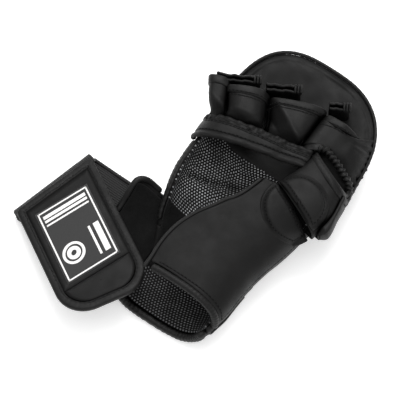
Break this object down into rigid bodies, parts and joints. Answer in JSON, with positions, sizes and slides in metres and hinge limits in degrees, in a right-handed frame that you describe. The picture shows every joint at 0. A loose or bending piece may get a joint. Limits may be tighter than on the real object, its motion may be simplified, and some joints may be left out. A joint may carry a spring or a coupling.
{
  "type": "mma glove",
  "caption": "Open-palm sparring glove for the right hand with a domed knuckle pad, finger loops, padded thumb stall, open cuff and a folded wrist strap with a label patch.",
  "frame": {"origin": "on the flat of the back of the hand, where the glove rests", "axes": "+Y from the wrist to the fingers, +X towards the thumb, +Z out of the palm"},
  "size_m": [0.2348, 0.3104, 0.0679],
  "materials": {
    "leather": "matte grained synthetic leather",
    "binding": "satin rolled edge",
    "mesh_lining": "knitted lining with light dots",
    "foam": "closed-cell padding",
    "webbing": "ribbed elastic webbing",
    "fastener": "hook and loop pile",
    "label": "woven label"
  },
  "bodies": {
    "shell": {"knuckle_cover": "leather", "knuckle_foam": "foam", "knuckle_inner_face": "leather", "knuckle_piping": "binding", "back_hand_cover": "leather", "back_hand_foam": "foam", "hand_lining": "mesh_lining", "pinky_edge_binding": "binding", "cuff_back_cover": "leather", "cuff_foam": "foam", "cuff_lining": "mesh_lining", "cuff_back_binding": "binding", "loop_patch": "fastener", "palm_panel": "leather", "palm_panel_lining": "mesh_lining", "palm_opening_piping": "binding", "cuff_palm_binding": "binding", "thumb_base_pad": "leather", "palm_bar_cover": "leather", "palm_bar_core": "foam", "palm_bar_front_roll": "binding", "palm_bar_rear_roll": "binding"},
    "thumb": {"thumb_stall": "leather", "thumb_lining": "mesh_lining", "thumb_hem": "binding", "thumb_edge_cord": "binding", "thumb_flex_pad": "leather", "thumb_side_strip": "leather"},
    "finger_loops": {"pinky_loop": "leather", "ring_loop": "leather", "middle_loop": "leather", "index_loop": "leather", "pinky_hem": "binding", "ring_hem": "binding", "middle_hem": "binding", "index_hem": "binding", "ring_divider": "leather", "middle_divider": "leather", "index_divider": "leather"},
    "strap": {"cuff_wing": "leather", "wing_lining": "fastener", "wing_piping": "binding", "strap_web": "webbing"},
    "strap_tab": {"tab_face": "leather", "tab_end_panel": "leather", "tab_backing": "webbing", "tab_binding": "binding", "label_patch": "label", "hook_patch": "fastener"}
  },
  "joints": [
    {"name": "finger_flex", "type": "hinge", "parent": "shell", "child": "finger_loops", "pos_m": [-0.015, 0.0635, 0.0635], "axis": [0.9882, 0.153, 0], "range_deg": [0, 18], "stiffness_Nm_per_rad": 0.4},
    {"name": "thumb_flex", "type": "hinge", "parent": "shell", "child": "thumb", "pos_m": [0.045, 0.016, 0.063], "axis": [0.9239, -0.3827, 0], "range_deg": [0, 30], "stiffness_Nm_per_rad": 0.4},
    {"name": "strap_swing", "type": "hinge", "parent": "shell", "child": "strap", "pos_m": [-0.0515, -0.075, 0.009], "axis": [0, 1, 0], "range_deg": [0, 12]},
    {"name": "strap_fold", "type": "hinge", "parent": "strap", "child": "strap_tab", "pos_m": [-0.1477, -0.072, 0.0052], "axis": [-0.2588, -0.9659, 0], "range_deg": [0, 165]}
  ]
}
